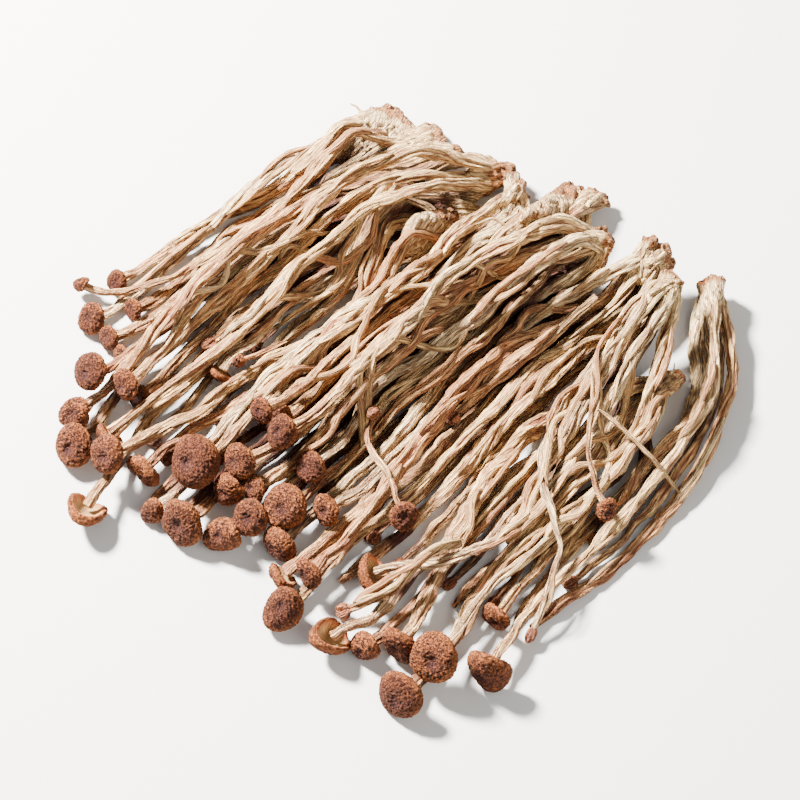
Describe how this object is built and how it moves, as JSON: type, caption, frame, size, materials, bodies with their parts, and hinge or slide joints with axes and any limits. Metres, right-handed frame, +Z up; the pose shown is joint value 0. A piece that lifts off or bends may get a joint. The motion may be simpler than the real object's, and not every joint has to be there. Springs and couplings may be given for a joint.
{
  "type": "tea tree mushroom bunch",
  "caption": "Bunch of dried tea tree mushrooms lying in a flat heap: clumps of long ridged stems grown together at the foot, wrinkled brown caps at the other end, some loose stems on top.",
  "frame": {"origin": "on the table, below the middle of the bunch's outer box", "axes": "+Z up from the table; the feet of the clumps lie towards +X and +Y, the caps towards -X and -Y"},
  "size_m": [0.2254, 0.2354, 0.0342],
  "materials": {
    "stem": "dry, fibrous and matt: cream on the ridges, orange brown in the grooves",
    "cap": "dry and matt, wrinkled, red brown with paler ridges"
  },
  "bodies": {
    "root": {"clump_a": "stem", "clump_b": "stem", "clump_c": "stem", "clump_d": "stem", "clump_e": "stem", "clump_f": "stem", "clump_g": "stem", "clump_h": "stem", "clump_i": "stem", "clump_j": "stem", "cap_a4": "cap", "cap_a5": "cap", "cap_a6": "cap", "cap_a7": "cap", "cap_a8": "cap", "cap_a9": "cap", "cap_b4": "cap", "cap_b5": "cap", "cap_b6": "cap", "cap_b7": "cap", "cap_b8": "cap", "cap_b9": "cap", "cap_c4": "cap", "cap_c5": "cap", "cap_c6": "cap", "cap_c7": "cap", "cap_c8": "cap", "cap_d4": "cap", "cap_d5": "cap", "cap_d6": "cap", "cap_d7": "cap", "cap_e4": "cap", "cap_e5": "cap", "cap_e6": "cap", "cap_e7": "cap", "cap_e8": "cap", "cap_e9": "cap", "cap_f4": "cap", "cap_f5": "cap", "cap_f6": "cap", "cap_f7": "cap", "cap_f8": "cap", "cap_f9": "cap", "cap_f10": "cap", "cap_g4": "cap", "cap_g5": "cap", "cap_g6": "cap", "cap_g7": "cap", "cap_g8": "cap", "cap_h4": "cap", "cap_h5": "cap", "cap_h6": "cap", "cap_h7": "cap", "cap_h8": "cap", "cap_i4": "cap", "cap_i5": "cap", "cap_j5": "cap", "loose_stem_1": "stem", "loose_stem_2": "stem", "loose_stem_3": "stem"}
  },
  "joints": []
}
